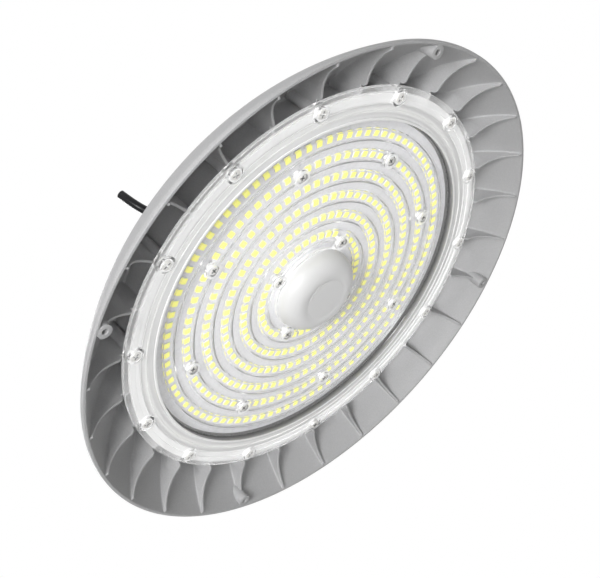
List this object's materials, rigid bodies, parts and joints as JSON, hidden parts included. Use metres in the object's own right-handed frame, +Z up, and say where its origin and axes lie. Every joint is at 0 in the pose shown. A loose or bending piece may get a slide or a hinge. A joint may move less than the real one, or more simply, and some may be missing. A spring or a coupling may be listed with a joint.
{
  "type": "high bay light",
  "caption": "Round LED high bay light with a finned cast heat sink, clear ring lens, frosted centre dome, driver drum, eye bolt and short cable.",
  "frame": {"origin": "on the light's axis, in the plane of the rim's front edge, which is the lowest edge as the light hangs", "axes": "+Z up along the axis, from the lens towards the eye bolt; +X along one fin; +Y towards the cable gland"},
  "size_m": [0.34, 0.34, 0.1498],
  "materials": {
    "casting_paint": "satin",
    "clear_lens": "gloss",
    "frosted_dome": "satin",
    "silicone_grey": "matte",
    "steel_screw": "satin",
    "white_board": "satin",
    "led_phosphor": "satin",
    "drum_paint": "satin",
    "bare_aluminium": "satin",
    "zinc_steel": "satin",
    "black_polyamide": "satin",
    "black_rubber": "matte",
    "cable_black": "satin",
    "board_green": "satin",
    "yellow_tape": "satin",
    "capacitor_sleeve": "gloss",
    "choke_core": "matte",
    "terminal_green": "satin",
    "lead_insulation": "satin",
    "tinned_can": "satin"
  },
  "bodies": {
    "root": {"heat_sink": "casting_paint", "lens": "clear_lens", "lens_gasket": "silicone_grey", "lens_flange_screws": "steel_screw", "lens_inner_screws": "steel_screw", "lens_centre_screws": "steel_screw", "led_board": "white_board", "led_leads": "lead_insulation", "sensor_dome": "frosted_dome", "sensor_socket": "black_polyamide", "sensor_board": "board_green", "sensor_can": "tinned_can", "driver_base_plate": "bare_aluminium", "driver_gasket": "black_rubber", "driver_housing": "drum_paint", "driver_screws": "steel_screw", "driver_standoffs": "zinc_steel", "driver_board": "board_green", "transformer": "yellow_tape", "capacitors": "capacitor_sleeve", "choke": "choke_core", "mains_terminal": "terminal_green", "eye_bolt": "zinc_steel", "eye_washer": "zinc_steel", "eye_lock_nut": "zinc_steel", "eye_inner_nut": "zinc_steel", "vent_plug": "black_polyamide", "gland_body": "black_polyamide", "gland_nut": "black_polyamide", "gland_seal": "black_rubber", "gland_lock_nut": "black_polyamide", "cable_tail": "cable_black", "mains_cable": "cable_black", "led_ring_1": "led_phosphor", "led_ring_2": "led_phosphor", "led_ring_3": "led_phosphor", "led_ring_4": "led_phosphor", "led_ring_5": "led_phosphor", "led_ring_6": "led_phosphor"}
  },
  "joints": []
}
